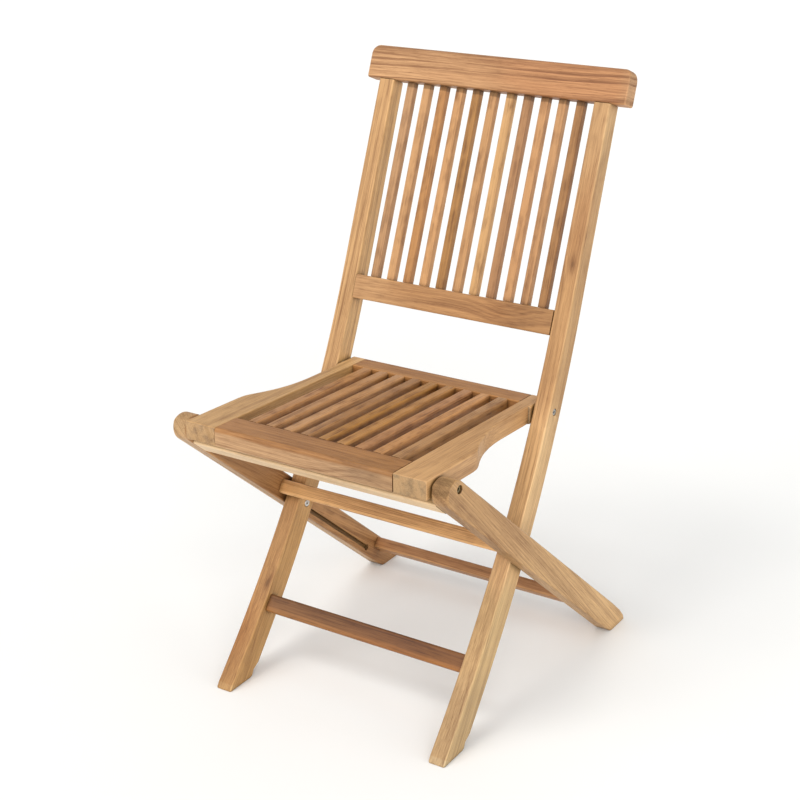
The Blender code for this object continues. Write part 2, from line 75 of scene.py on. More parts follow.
LEG_OUT, LEG_IN = 0.2383, 0.2112         # half widths across the chair
STILE_OUT, STILE_IN = 0.2086, 0.1806
SEAT_OUT, SEAT_WAIST = 0.2082, 0.1755
PAD_OUT, SEAT_IN = 0.1785, 0.1535
CREST_HALF = 0.2332

FOOT_Y = -0.2670                         # stile: front face on the ground
SLOPE_TOP, SLOPE_KNEE, SLOPE_FOOT = 0.437, 0.592, 0.940
Z_STRAIGHT, Z_KNEE, Z_CREST, Z_MID = 0.560, 0.340, 0.8462, 0.450
DEPTH_FOOT, DEPTH_MID, DEPTH_TOP = 0.0430, 0.0345, 0.0285
STILE_ROUND, TOE_HIGH = 0.0032, 0.0090

CREST_HIGH, CREST_DEEP, CREST_CORNER = 0.0538, 0.0270, 0.0125
BACK_RAIL_HIGH, BACK_RAIL_DEEP, BACK_RAIL_LOW = 0.0380, 0.0240, -0.3515
BACK_SLATS, BACK_SLAT_PITCH = 11, 0.0307
BACK_SLAT_WIDE, BACK_SLAT_DEEP, BACK_SLAT_SET = 0.0135, 0.0125, 0.0095
BACK_SLAT_TENON = 0.0100

SEAT_TILT = math.radians(3.25)
SEAT_FRONT_Y, SEAT_FRONT_Z = -0.2746, 0.4479
SEAT_LONG, SEAT_THICK = 0.3587, 0.0285
FRONT_RAIL_WIDE, REAR_RAIL_WIDE = 0.0480, 0.0360
SEAT_SLATS, SEAT_SLAT_PITCH = 9, 0.0312
SEAT_SLAT_WIDE, SEAT_SLAT_THICK, SEAT_SLAT_TENON = 0.0170, 0.0180, 0.0080
WAIST_START, WAIST_LONG, WAIST_SOFT, PAD_START = 0.127, 0.118, 0.008, 0.312

LEG_Y, LEG_Z, LEG_FALL = -0.2491, 0.4243, math.radians(43.4)
LEG_HALF, LEG_TIP, LEG_ROUND = 0.0205, 0.0216, 0.0034
PIVOT_SEAT, PIVOT_LEG = (0.0558, 0.4200), (-0.2423, 0.4297)
PIN_STILE = (-0.0540, 0.2266)
GROOVE_V, GROOVE_START, GROOVE_END = -0.0090, 0.2740, 0.5285
GROOVE_WIDE, GROOVE_DEEP, GROOVE_HOLE = 0.0070, 0.0080, 0.0053

STRETCHER_Z, UPPER_Z = 0.1095, 0.2475    # where they meet the stiles
STILE_MORTISE, LEG_MORTISE, SEAT_MORTISE = 0.0150, 0.0120, 0.0100
PAST = 0.003                 # how far a cutter starts outside the wood

SHANK_R, BORE_R = 0.0030, 0.0035
STILE_SINK, LEG_SINK, PIN_SINK = (          # depth and radius of each recess
    (0.0042, 0.0055), (0.0065, 0.0063), (0.0030, 0.0062))
WASHER_R, WASHER_HOLE = 0.0085, 0.0037
SIDES = ((-1.0, "left"), (1.0, "right"))


# ---- frames of reference
def stile_slope(z):
    if z >= Z_STRAIGHT:
        return SLOPE_TOP
    if z >= Z_KNEE:
        t = (Z_STRAIGHT - z) / (Z_STRAIGHT - Z_KNEE)
        return SLOPE_TOP + t * (SLOPE_KNEE - SLOPE_TOP)
    return SLOPE_KNEE + (Z_KNEE - z) / Z_KNEE * (SLOPE_FOOT - SLOPE_KNEE)


def stile_y(z):
    """Front face of the stile: its slope added up from the ground."""
    y, low = FOOT_Y, 0.0
    for high in (Z_KNEE, Z_STRAIGHT, 9.0):
        top = min(z, high)
        y += (top - low) * (stile_slope(low) + stile_slope(top)) / 2.0
        if z <= high:
            break
        low = high
    return y


def stile_depth(z):
    if z < Z_MID:
        return DEPTH_FOOT + (DEPTH_MID - DEPTH_FOOT) * z / Z_MID
    t = (z - Z_MID) / (Z_CREST - Z_MID)
    return DEPTH_MID + (DEPTH_TOP - DEPTH_MID) * t


def stile_point(z, back, up=0.0):
    """(y, z) at a depth behind the front face and a rise along the stile."""
    slope = stile_slope(z)
    n = math.hypot(1.0, slope)
    return (stile_y(z) + (back + up * slope) / n,
            z + (up - back * slope) / n)


LEAN = math.atan(SLOPE_TOP)


def back_point(x, n, e):
    """Back-rest frame: n behind the front plane, e up from the crest rail."""
    c, t = math.cos(LEAN), math.sin(LEAN)
    return Vector((x, stile_y(Z_CREST) + n * c + e * t,
                   Z_CREST - n * t + e * c))


def seat_point(x, s, h):
    """Seat frame: s back from the front edge, h above the top face."""
    c, t = math.cos(SEAT_TILT), math.sin(SEAT_TILT)
    return Vector((x, SEAT_FRONT_Y + s * c + h * t,
                   SEAT_FRONT_Z - s * t + h * c))


def leg_point(x, u, v):
    """Rear-leg frame: u down the leg from its top end, v across it."""
    c, s = math.cos(LEG_FALL), math.sin(LEG_FALL)
    return Vector((x, LEG_Y + u * c + v * s, LEG_Z - u * s + v * c))


def leg_u_at_ground(v):
    return (LEG_Z + v * math.cos(LEG_FALL)) / math.sin(LEG_FALL)


def stretcher_place(x, back, up):
    return Vector((x, *stile_point(STRETCHER_Z, back, up)))


def upper_place(x, front, up):
    """The upper stretcher lies flat on the stiles' front faces."""
    return Vector((x, *stile_point(UPPER_Z, -front, up)))


# ---- building blocks
PIECES = {}                  # CAD node name -> the piece that stands for it


def rounded(a0, a1, b0, b1, radii, steps=5):
    """Rounded rectangle; radii at (a0,b0), (a1,b0), (a1,b1), (a0,b1)."""
    if not isinstance(radii, (tuple, list)):
        radii = (radii,) * 4
    corners = ((a0, b0, 1, 1, 180), (a1, b0, -1, 1, 270),
               (a1, b1, -1, -1, 0), (a0, b1, 1, -1, 90))
    points = []
    for (a, b, sa, sb, start), r in zip(corners, radii):
        for k in range(steps + 1):
            t = math.radians(start + 90.0 * k / steps)
            points.append((a + sa * r + r * math.cos(t),
                           b + sb * r + r * math.sin(t)))
    return points


def bridge(bm, low, high):
    """Faces between two matching rings of vertices."""
    for i in range(len(low)):
        j = (i + 1) % len(low)
        bm.faces.new((low[i], low[j], high[j], high[i]))


def add_loft(bm, loops):
    """Skin a row of matching loops and close both ends with flat faces."""
    rings = [[bm.verts.new(p) for p in loop] for loop in loops]
    for low, high in zip(rings, rings[1:]):
        bridge(bm, low, high)
    bm.faces.new(list(reversed(rings[0])))
    bm.faces.new(rings[-1])


def linked(name, data):
    """A new object, linked to the scene."""
    obj = bpy.data.objects.new(name, data)
    bpy.context.scene.collection.objects.link(obj)
    return obj


def new_object(name, bm):
    bmesh.ops.remove_doubles(bm, verts=bm.verts, dist=1e-6)
    bmesh.ops.recalc_face_normals(bm, faces=bm.faces)
    mesh = bpy.data.meshes.new(name)
    bm.to_mesh(mesh)
    bm.free()
    return linked(name, mesh)


def cut(obj, solids):
    """Take closed solids, each a row of loops, out of a piece for good."""
    bm = bmesh.new()
    for loops in solids:
        add_loft(bm, loops)
    cutter = new_object("cutter", bm)
    mod = obj.modifiers.new("cuts", "BOOLEAN")
    mod.operation, mod.solver, mod.object = "DIFFERENCE", "EXACT", cutter
    graph = bpy.context.evaluated_depsgraph_get()
    mesh = bpy.data.meshes.new_from_object(obj.evaluated_get(graph))
    spare = obj.data, cutter.data
    obj.modifiers.clear()
    obj.data = mesh
    bpy.data.objects.remove(cutter)
    for old in spare:
        bpy.data.meshes.remove(old)


def board(node, loops, cuts=()):
    """A finished board that stands for a CAD node and rides on its body."""
    bm = bmesh.new()
    add_loft(bm, loops)
    obj = new_object(node + "_piece", bm)
    if cuts:
        cut(obj, cuts)
    stands_for(obj, node, 38.0)
    mod = obj.modifiers.new("flat_faces", "WEIGHTED_NORMAL")
    mod.keep_sharp = True
    mod.weight = 90


def stands_for(obj, node, sharp):
    """Shade a piece, sharp above an angle, and give it its node's place."""
    obj.data.name = node + "_piece"
    obj.data.shade_smooth()
    obj.data.set_sharp_from_angle(angle=math.radians(sharp))
    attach(obj, frame["nodes"][node]["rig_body"])
    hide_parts(node)
    PIECES[node] = obj


def disc(x, centre, radius, sides=40, turn=0.0):
    """A ring of points round an axis along X."""
    y, z = centre
    angles = [2.0 * math.pi * k / sides + turn for k in range(sides)]
    return [Vector((x, y + radius * math.cos(t), z + radius * math.sin(t)))
            for t in angles]


def bore(centre, stations, sides=40):
    """Turned solid along X from (x, radius) stations."""
    return [disc(x, centre, r, sides) for x, r in stations]


def sunk_bore(side, centre, start, face, sink):
    """A bore through a board along X, with a wider recess at one face."""
    out = math.copysign(0.01, face - start)
    deep, radius = sink
    floor = face - math.copysign(deep, out)
    rows = [(start - out, BORE_R), (floor, BORE_R), (floor, radius),
            (face + out, radius)]
    return bore(centre, [(side * x, r) for x, r in rows])


def pocket(x0, x1, box, place):
    """A square mortise along X, GAP larger than its tenon."""
    a0, a1, b0, b1 = box
    square = ((a0 - GAP, b0 - GAP), (a1 + GAP, b0 - GAP),
              (a1 + GAP, b1 + GAP), (a0 - GAP, b1 + GAP))
    return [[place(x, a, b) for a, b in square] for x in (x0, x1)]


def side_pocket(side, face, deep, box, place):
    """A mortise that opens on the face at x = side * face."""
    return pocket(side * (face - PAST), side * (face + deep + GAP), box,
                  place)


def cross_piece(x_end, section, tenon, place, reach):
    """A board along X with a stepped tenon at each end."""
    near = x_end - 0.0004        # a loop that keeps the shoulder crisp
    row = ((-x_end - reach, tenon), (-x_end, tenon), (-x_end, section),
           (-near, section), (0.0, section), (near, section),
           (x_end, section), (x_end, tenon), (x_end + reach, tenon))
    return [[place(x, a, b) for a, b in outline] for x, outline in row]


def pair_loop(side, x_in, x_out, front, back, r):
    """Rounded section between two (y, z) points, from x_in to x_out."""
    f = Vector(front)
    d = Vector(back) - f
    deep = d.length
    d.normalize()
    return [Vector((side * a, f.x + t * d.x, f.y + t * d.y))
            for a, t in rounded(x_in, x_out, 0.0, deep, r)]


# ---- back frame
BACK_RAIL_TENON = (0.0060, 0.0160, BACK_RAIL_LOW + 0.004,
                   BACK_RAIL_LOW + BACK_RAIL_HIGH - 0.004)
STRETCHER_TENON = (0.0120, 0.0220, -0.0085, 0.0085)
STILE_TENON = (0.0070, 0.0200, 0.0050, 0.0250)   # depths, cheek, length
SLAT_TENON = (BACK_SLAT_SET + 0.002, BACK_SLAT_SET + BACK_SLAT_DEEP - 0.002,
              0.004)                             # depths, half width


def build_stile(side, word):
    """Post and front leg in one board, bent below the seat's height."""
    x0, x1, r = STILE_IN, STILE_OUT, STILE_ROUND
    z_top = Z_CREST - GAP
    front, back, cheek, reach = STILE_TENON
    loops = [pair_loop(side, x0 + cheek, x1 - cheek,
                       stile_point(z_top, front, up),
                       stile_point(z_top, back, up), 0.001)
             for up in (reach, 0.0)]
    heights = [z_top, z_top - 0.0005]
    heights += [Z_STRAIGHT + 0.094 * (2 - k) for k in range(3)]
    heights += [Z_STRAIGHT - 0.0172 * k for k in range(1, 31)]
    for z in heights:
        loops.append(pair_loop(side, x0, x1, stile_point(z, 0.0),
                               stile_point(z, stile_depth(z)), r))
    # the foot turns from square across the leg to flat on the ground
    heel = FOOT_Y + DEPTH_FOOT * math.hypot(1.0, SLOPE_FOOT)
    loops.append(pair_loop(side, x0, x1, (stile_y(0.018), 0.018),
                           (heel + 0.0010, 0.0100), r))
    loops.append(pair_loop(side, x0, x1, (stile_y(TOE_HIGH), TOE_HIGH),
                           (heel - 0.0008, 0.0060), r))
    for t in (0.0, 0.5, 1.0):
        ease = 0.0006 * t * t
        loops.append(pair_loop(
            side, x0 + ease, x1 - ease,
            (FOOT_Y + 0.0040 * (1 - t) + 0.0036 * t, 0.0022 * (1 - t)),
            (heel - 0.0035 - 0.0045 * t, 0.0022 * (1 - t)),
            0.0026 - 0.0002 * t))
    board("stile_" + word, loops, [
        side_pocket(side, x0, STILE_MORTISE, BACK_RAIL_TENON, back_point),
        side_pocket(side, x0, STILE_MORTISE, STRETCHER_TENON,
                    stretcher_place),
        sunk_bore(side, PIVOT_SEAT, x0, x1, STILE_SINK),
        sunk_bore(side, PIN_STILE, x1, x0, PIN_SINK)])


def upright_pocket(x, half, n0, n1, e0, e1):
    """A mortise that opens up or down in the back-rest frame."""
    a0, a1, b0, b1 = x - half - GAP, x + half + GAP, n0 - GAP, n1 + GAP
    square = ((a0, b0), (a1, b0), (a1, b1), (a0, b1))
    return [[back_point(a, b, e) for a, b in square] for e in (e0, e1)]


def centres(count, pitch):
    return [(i - (count - 1) / 2.0) * pitch for i in range(count)]


def build_crest():
    """Top board: its upper corners are rounded off in a quarter circle."""
    stations = [(CREST_HALF, 0.0024), (CREST_HALF - 0.0004, 0.0015),
                (CREST_HALF - 0.0012, 0.0005)]
    for k in range(13):
        x = CREST_HALF - CREST_CORNER
        x += CREST_CORNER * math.sin(math.radians(90.0 * k / 12))
        stations.append((min(x, CREST_HALF - 0.0024), 0.0))
    stations = sorted(set(stations))
    row = [(-x, inset) for x, inset in reversed(stations)] + stations
    loops = []
    for x, inset in row:
        run = max(0.0, abs(x) - (CREST_HALF - CREST_CORNER))
        drop = CREST_CORNER - math.sqrt(max(0.0, CREST_CORNER ** 2 - run ** 2))
        outline = rounded(inset, CREST_DEEP - inset, inset,
                          CREST_HIGH - drop - inset,
                          (0.003, 0.003, 0.0065, 0.0075), 7)
        loops.append([back_point(x, n, e) for n, e in outline])
    n0, n1, w = SLAT_TENON
    cuts = [upright_pocket(x, w, n0, n1, -PAST, BACK_SLAT_TENON + GAP)
            for x in centres(BACK_SLATS, BACK_SLAT_PITCH)]
    front, back, cheek, reach = STILE_TENON
    for side, _ in SIDES:
        cuts.append(upright_pocket(side * (STILE_IN + STILE_OUT) / 2.0,
                                   (STILE_OUT - STILE_IN) / 2.0 - cheek,
                                   front, back, -PAST, reach + 2.0 * GAP))
    board("crest_rail", loops, cuts)


def build_back_rail():
    low, high = BACK_RAIL_LOW, BACK_RAIL_LOW + BACK_RAIL_HIGH
    loops = cross_piece(STILE_IN - GAP,
                        rounded(0.0, BACK_RAIL_DEEP, low, high, 0.0025),
                        rounded(*BACK_RAIL_TENON, 0.0010),
                        back_point, STILE_MORTISE)
    n0, n1, w = SLAT_TENON
    board("lower_back_rail", loops,
          [upright_pocket(x, w, n0, n1, high - BACK_SLAT_TENON - GAP,
                          high + PAST)
           for x in centres(BACK_SLATS, BACK_SLAT_PITCH)])


def build_back_slats():
    low, reach = BACK_RAIL_LOW + BACK_RAIL_HIGH, BACK_SLAT_TENON
    n0, n1, w = SLAT_TENON
    half = BACK_SLAT_WIDE / 2.0
    for i, x in enumerate(centres(BACK_SLATS, BACK_SLAT_PITCH)):
        body = rounded(x - half, x + half, BACK_SLAT_SET,
                       BACK_SLAT_SET + BACK_SLAT_DEEP, 0.0018)
        tenon = rounded(x - w, x + w, n0, n1, 0.0006)
        row = ((low - reach, tenon), (low + GAP, tenon), (low + GAP, body),
               (low / 2.0, body), (-GAP, body), (-GAP, tenon), (reach, tenon))
        board("back_slat_%02d" % (i + 1),
              [[back_point(a, b, e) for a, b in outline]
               for e, outline in row])


def build_front_stretcher():
    board("front_leg_stretcher",
          cross_piece(STILE_IN - GAP,
                      rounded(0.0080, 0.0260, -0.0125, 0.0143, 0.0030),
                      rounded(*STRETCHER_TENON, 0.0010),
                      stretcher_place, STILE_MORTISE))


# ---- seat
def seat_edge(s):
    """Outer edge of the seat's side at a distance s from the front."""
    if s >= PAD_START:
        return PAD_OUT
    run = s - WAIST_START
    t = 0.5 * (run + math.hypot(run, WAIST_SOFT)) / WAIST_LONG
    t = 1.0 - (1.0 - min(1.0, t)) ** 2.3
    return SEAT_OUT + (SEAT_WAIST - SEAT_OUT) * t


SEAT_RAILS = (0.0, FRONT_RAIL_WIDE), (SEAT_LONG - REAR_RAIL_WIDE, SEAT_LONG)
PIVOT_SCREW_IN = 0.0300, 0.0142          # bore depths, front and rear


def seat_rail_tenon(s0, s1):
    return s0 + 0.006, s1 - 0.006, -0.0180, -0.0080


def slat_tenon(x, grow=0.0):
    """Sides and depths of a seat slat's tenon; grow makes it a mortise."""
    half = 0.0055 + grow
    return x - half, x + half, -0.0130 - grow, -0.0050 + grow


def build_seat_side(side, word):
    stations = [(0.0, 0.0022), (0.0005, 0.0012), (0.0012, 0.0004),
                (0.0022, 0.0)]
    for k in range(31):
        run = -0.017 + (WAIST_LONG + 0.017) * (k / 30.0) ** 1.4
        stations.append((WAIST_START + run, 0.0))
    stations += [(PAD_START - 0.0012, 0.0), (PAD_START + 0.0004, 0.0),
                 (SEAT_LONG - 0.0022, 0.0), (SEAT_LONG - 0.0012, 0.0004),
                 (SEAT_LONG - 0.0005, 0.0012), (SEAT_LONG, 0.0022)]
    loops = []
    for s, inset in stations:
        outline = rounded(SEAT_IN + inset, seat_edge(s) - inset,
                          inset - SEAT_THICK, -inset,
                          (0.001, 0.003, 0.003, 0.0015))
        loops.append([seat_point(side * a, s, h) for a, h in outline])
    cuts = [bore(centre, [(side * (face + PAST), BORE_R),
                          (side * (face - deep), BORE_R)])
            for centre, face, deep in zip((PIVOT_LEG, PIVOT_SEAT),
                                          (SEAT_OUT, PAD_OUT),
                                          PIVOT_SCREW_IN)]
    cuts += [side_pocket(side, SEAT_IN, SEAT_MORTISE, seat_rail_tenon(*rail),
                         seat_point) for rail in SEAT_RAILS]
    board("seat_side_" + word, loops, cuts)


def slat_pocket(x, s0, s1):
    x0, x1, h0, h1 = slat_tenon(x, GAP)
    square = ((x0, h0), (x1, h0), (x1, h1), (x0, h1))
    return [[seat_point(a, s, h) for a, h in square] for s in (s0, s1)]


def build_seat_rails():
    deep = SEAT_SLAT_TENON + GAP
    for name, (s0, s1), radii in (
            ("seat_front_rail", SEAT_RAILS[0],
             (0.003, 0.0015, 0.0015, 0.0055)),
            ("seat_rear_rail", SEAT_RAILS[1],
             (0.0015, 0.003, 0.003, 0.0015))):
        loops = cross_piece(SEAT_IN - GAP,
                            rounded(s0, s1, -SEAT_THICK, 0.0, radii),
                            rounded(*seat_rail_tenon(s0, s1), 0.001),
                            seat_point, SEAT_MORTISE)
        span = (s0 - PAST, s0 + deep) if s0 else (s1 - deep, s1 + PAST)
        board(name, loops, [slat_pocket(x, *span)
                            for x in centres(SEAT_SLATS, SEAT_SLAT_PITCH)])


def build_seat_slats():
    s0, s1, reach = SEAT_RAILS[0][1], SEAT_RAILS[1][0], SEAT_SLAT_TENON
    half = SEAT_SLAT_WIDE / 2.0
    for i, x in enumerate(centres(SEAT_SLATS, SEAT_SLAT_PITCH)):
        body = rounded(x - half, x + half, -SEAT_SLAT_THICK, 0.0,
                       (0.0015, 0.0015, 0.0030, 0.0030))
        tenon = rounded(*slat_tenon(x), 0.0006)
        row = ((s0 - reach, tenon), (s0 + GAP, tenon), (s0 + GAP, body),
               ((s0 + s1) / 2.0, body), (s1 - GAP, body), (s1 - GAP, tenon),
               (s1 + reach, tenon))
        board("seat_slat_%02d" % (i + 1),
              [[seat_point(a, s, h) for a, h in outline]
               for s, outline in row])


# ---- rear-leg frame
LEG_RAILS = (                # name, section, arris, tenon's cheek, frame
    ("front_cross_rail", (0.0042, 0.0373, -LEG_HALF, -0.0055),
     0.0030, 0.0040, leg_point),
    ("lower_stretcher", (0.5484, 0.5744, -0.0005, 0.0180),
     0.0030, 0.0040, leg_point),
    ("upper_stretcher", (0.0006, 0.0176, -0.0073, 0.0147),
     0.0040, 0.0045, upper_place))


def tenon_of(box, cheek):
    a0, a1, b0, b1 = box
    return a0 + cheek, a1 - cheek, b0 + cheek, b1 - cheek


def groove_outline():
    """Keyhole groove: a long slot with a round assembly hole at its end."""
    w = GROOVE_WIDE / 2.0
    points = []
    for k in range(13):
        t = math.radians(90 + 180 * k / 12)
        points.append((GROOVE_START + w * math.cos(t), w * math.sin(t)))
    gape = math.degrees(math.asin(w / GROOVE_HOLE))
    for k in range(29):
        t = math.radians(180 + gape + (360 - 2 * gape) * k / 28)
        points.append((GROOVE_END + GROOVE_HOLE * math.cos(t),
                       GROOVE_HOLE * math.sin(t)))
    return [(u, v + GROOVE_V) for u, v in points]


def leg_loop(side, u, half, r):
    p, q = leg_point(0.0, u, -half), leg_point(0.0, u, half)
    return pair_loop(side, LEG_IN, LEG_OUT, (p.y, p.z), (q.y, q.z), r)


def build_leg(side, word):
    loops = []
    for k in range(12):
        t = math.radians(-80 + 80 * k / 12.0)
        half = LEG_HALF * math.cos(t)
        loops.append(leg_loop(side, LEG_TIP * math.sin(t), half,
                              min(LEG_ROUND, half * 0.55)))
    for u in (0.0, 0.19, 0.38, 0.5750):
        loops.append(leg_loop(side, u, LEG_HALF, LEG_ROUND))
    foot = (((0.5880, -0.0205), (0.6065, 0.0195), LEG_ROUND),
            ((0.5965, -0.0195), (0.6240, 0.0163), 0.0030),
            ((leg_u_at_ground(-0.0165), -0.0165),
             (leg_u_at_ground(0.0118), 0.0118), 0.0022))
    for f, b, r in foot:
        p, q = leg_point(0.0, *f), leg_point(0.0, *b)
        loops.append(pair_loop(side, LEG_IN, LEG_OUT, (p.y, p.z),
                               (q.y, q.z), r))
    cuts = [sunk_bore(side, PIVOT_LEG, LEG_IN, LEG_OUT, LEG_SINK),
            [[leg_point(side * x, u, v) for u, v in groove_outline()]
             for x in (LEG_IN - PAST, LEG_IN + GROOVE_DEEP)]]
    cuts += [side_pocket(side, LEG_IN, LEG_MORTISE, tenon_of(box, cheek),
                         place) for _, box, _, cheek, place in LEG_RAILS]
    board("rear_leg_" + word, loops, cuts)


def build_leg_cross_pieces():
    for name, box, r, cheek, place in LEG_RAILS:
        board(name, cross_piece(LEG_IN - GAP, rounded(*box, r),
                                rounded(*tenon_of(box, cheek), 0.0010),
                                place, LEG_MORTISE))


# ---- hardware
HEAD_RIM, TURNED_SIDES = 0.0009, 48


def build_screw(node, side, centre, head_x, head_r, head_t, tip_x):
    """Socket-head screw along X, from the top of its head to its tip."""
    out = 1.0 if head_x > tip_x else -1.0
    under = head_x - out * head_t
    rows = [(tip_x, SHANK_R * 0.7), (tip_x + out * 0.0012, SHANK_R),
            (under, SHANK_R), (under, head_r - 0.0003),
            (under + out * 0.0003, head_r), (head_x - out * HEAD_RIM, head_r)]
    for k in range(1, 5):
        t = math.radians(22.5 * k)
        rows.append((head_x - out * HEAD_RIM * (1.0 - math.sin(t)),
                     head_r - HEAD_RIM * (1.0 - math.cos(t))))
    rows += [(head_x, head_r * 0.60),
             (head_x - out * 0.00035, head_r * 0.52)]
    bm = bmesh.new()
    add_loft(bm, bore(centre, [(side * x, r) for x, r in rows], TURNED_SIDES))
    obj = new_object(node + "_piece", bm)
    cut(obj, [[disc(side * x, centre, head_r * 0.46, 6, math.radians(30))
               for x in (head_x + out * 0.002, head_x - out * head_t * 0.7)]])
    stands_for(obj, node, 50.0)


def build_washer(node, side, centre, x0, x1):
    """Flat ring with rounded rims."""
    bm = bmesh.new()
    mid, half = (x0 + x1) / 2.0, (x1 - x0) / 2.0
    profile = [(mid - half * math.sin(t), WASHER_R - half * (1 - math.cos(t)))
               for t in [math.radians(d) for d in range(-90, 91, 30)]]
    profile += [(x0, WASHER_HOLE + 0.0002), (x0 + 0.0002, WASHER_HOLE),
                (x1 - 0.0002, WASHER_HOLE), (x1, WASHER_HOLE + 0.0002)]
    rings = [[bm.verts.new(p)
              for p in disc(side * x, centre, r, TURNED_SIDES)]
             for x, r in profile]
    for low, high in zip(rings, rings[1:] + rings[:1]):
        bridge(bm, low, high)
    stands_for(new_object(node + "_piece", bm), node, 40.0)


def build_hardware():
    for side, word in SIDES:
        build_screw("front_pivot_screw_" + word, side, PIVOT_LEG,
                    LEG_OUT - 0.0025, 0.0058, 0.0034, SEAT_OUT - 0.0270)
        build_screw("rear_pivot_screw_" + word, side, PIVOT_SEAT,
                    STILE_OUT - 0.0006, 0.0050, 0.0032, PAD_OUT - 0.0135)
        build_screw("groove_pin_" + word, side, PIN_STILE,
                    STILE_IN - 0.0006, 0.0057, 0.0030, STILE_OUT + 0.0018)
        build_washer("front_washer_" + word, side, PIVOT_LEG,
                     SEAT_OUT + GAP, LEG_IN - GAP)
        build_washer("rear_washer_" + word, side, PIVOT_SEAT,
                     PAD_OUT + GAP, STILE_IN - GAP)


# ---- materials
class Graph:
    """Adds shader nodes to a tree and links them."""

    def __init__(self, tree):
        self.tree = tree

    def add(self, kind, inputs, **settings):
        node = self.tree.nodes.new(kind)
        for key, value in settings.items():
            setattr(node, key, value)
        for key, value in inputs.items():
            if isinstance(value, bpy.types.NodeSocket):
                self.tree.links.new(value, node.inputs[key])
            else:
                node.inputs[key].default_value = value
        return node

    def math(self, operation, a, b=0.0, c=0.0, clamp=False):
        return self.add("ShaderNodeMath", {0: a, 1: b, 2: c},
                        operation=operation, use_clamp=clamp).outputs[0]

    def plus(self, a, b, clamp=False):
        return self.math("ADD", a, b, clamp=clamp)

    def minus(self, a, b):
        return self.math("SUBTRACT", a, b)

    def times(self, a, b):
        return self.math("MULTIPLY", a, b)

    def vector(self, operation, a, b=(0.0, 0.0, 0.0)):
        node = self.add("ShaderNodeVectorMath", {0: a, 1: b},
                        operation=operation)
        dot = operation in ("DOT_PRODUCT", "LENGTH")
        return node.outputs["Value" if dot else "Vector"]

    def parts(self, vector):
        return self.add("ShaderNodeSeparateXYZ", {0: vector}).outputs

    def noise(self, place, scale, detail=2.0, rough=0.5):
        """3-D noise in a vector stretched by scale; 0 to 1 about 0.5."""
        stretched = self.vector("MULTIPLY", place, scale)
        return self.add("ShaderNodeTexNoise",
                        {"Vector": stretched, "Scale": 1.0, "Detail": detail,
                         "Roughness": rough}).outputs[0]

    def line_noise(self, value, detail=2.0, rough=0.5):
        """1-D noise along a value."""
        return self.add("ShaderNodeTexNoise",
                        {"W": value, "Scale": 1.0, "Detail": detail,
                         "Roughness": rough},
                        noise_dimensions="1D").outputs[0]

    def step(self, value, low, high, to_low=0.0, to_high=1.0):
        """Smooth step from to_low at low to to_high at high."""
        return self.add("ShaderNodeMapRange",
                        {"Value": value, "From Min": low, "From Max": high,
                         "To Min": to_low, "To Max": to_high},
                        interpolation_type="SMOOTHSTEP").outputs[0]

    def mix(self, factor, a, b, blend="MIX"):
        node = self.add("ShaderNodeMix", {0: factor, 6: a, 7: b},
                        data_type="RGBA", blend_type=blend)
        return node.outputs[2]

    def tinted(self, colour, tint):
        return self.mix(1.0, colour, tint, "MULTIPLY")

    def swing(self, noise, amount):
        """Noise about zero, times an amount."""
        return self.times(self.minus(noise, 0.5), amount)

    def source(self, kind):
        return self.add("ShaderNode" + kind, {}).outputs


WOOD_SOCKETS = (             # kind, way, names
    ("Vector", "INPUT", ("Place", "Seed", "Pith", "Tilt", "Knot", "Swirl")),
    ("Float", "INPUT", ("Rings", "Figure", "Streak", "Line", "Mineral", "End",
                        "Knot size", "Swirl size")),
    ("Color", "INPUT", ("Swirl tint", "End tint", "Light", "Dark", "Stain")),
    ("Color", "OUTPUT", ("Colour",)),
    ("Float", "OUTPUT", ("Height", "Roughness")))


